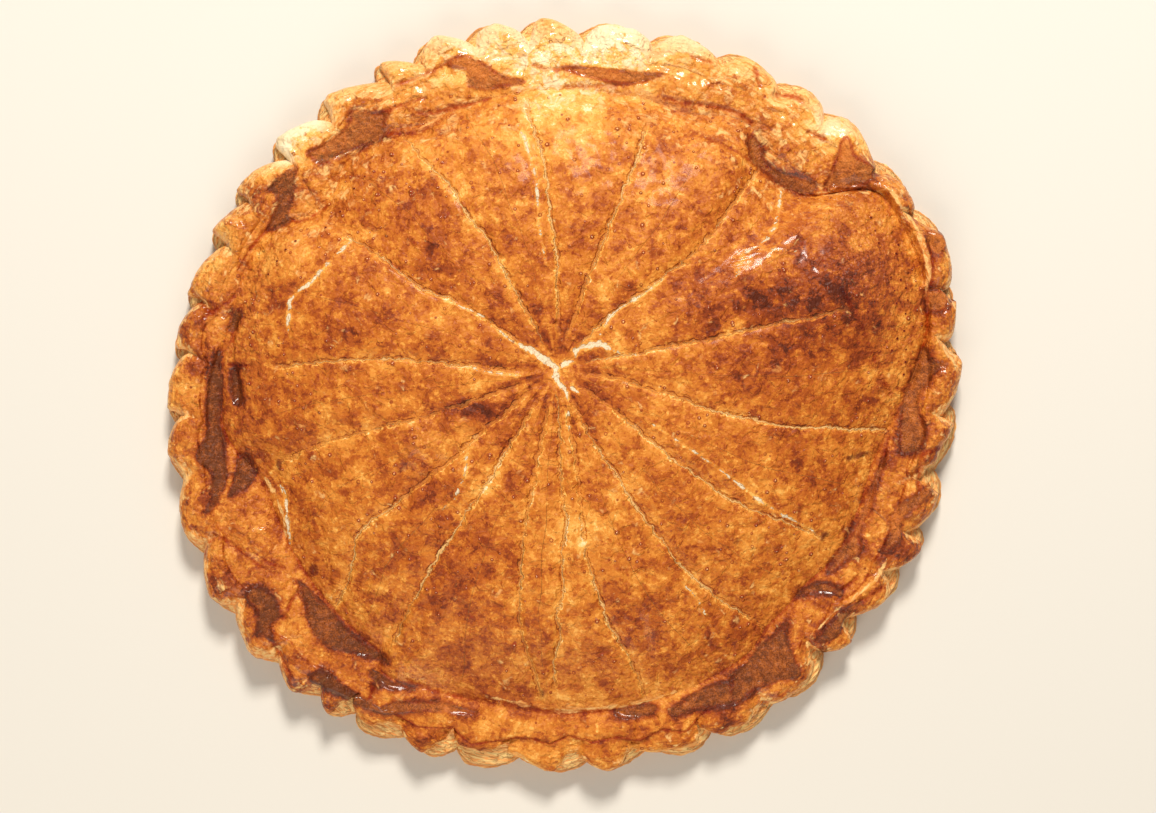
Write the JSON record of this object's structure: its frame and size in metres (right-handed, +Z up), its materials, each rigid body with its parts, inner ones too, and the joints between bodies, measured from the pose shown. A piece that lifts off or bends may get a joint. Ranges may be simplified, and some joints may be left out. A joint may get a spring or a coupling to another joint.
{
  "type": "galette des rois",
  "caption": "Whole round puff pastry pie with a domed, curved-scored glazed lid and a thick scalloped crimped border.",
  "frame": {"origin": "middle of the flat underside, under the middle of the pie's box", "axes": "+Z up through the lid; +X along the wider way of the slightly oval disc, +Y square to it, towards the side the scores' hub is nearer"},
  "size_m": [0.3142, 0.299, 0.0348],
  "materials": {
    "glazed_crust": "egg-washed puff pastry baked golden brown, glossy on top, pale and flaky at the edges and in the cuts"
  },
  "bodies": {
    "root": {"galette": "glazed_crust"}
  },
  "joints": []
}
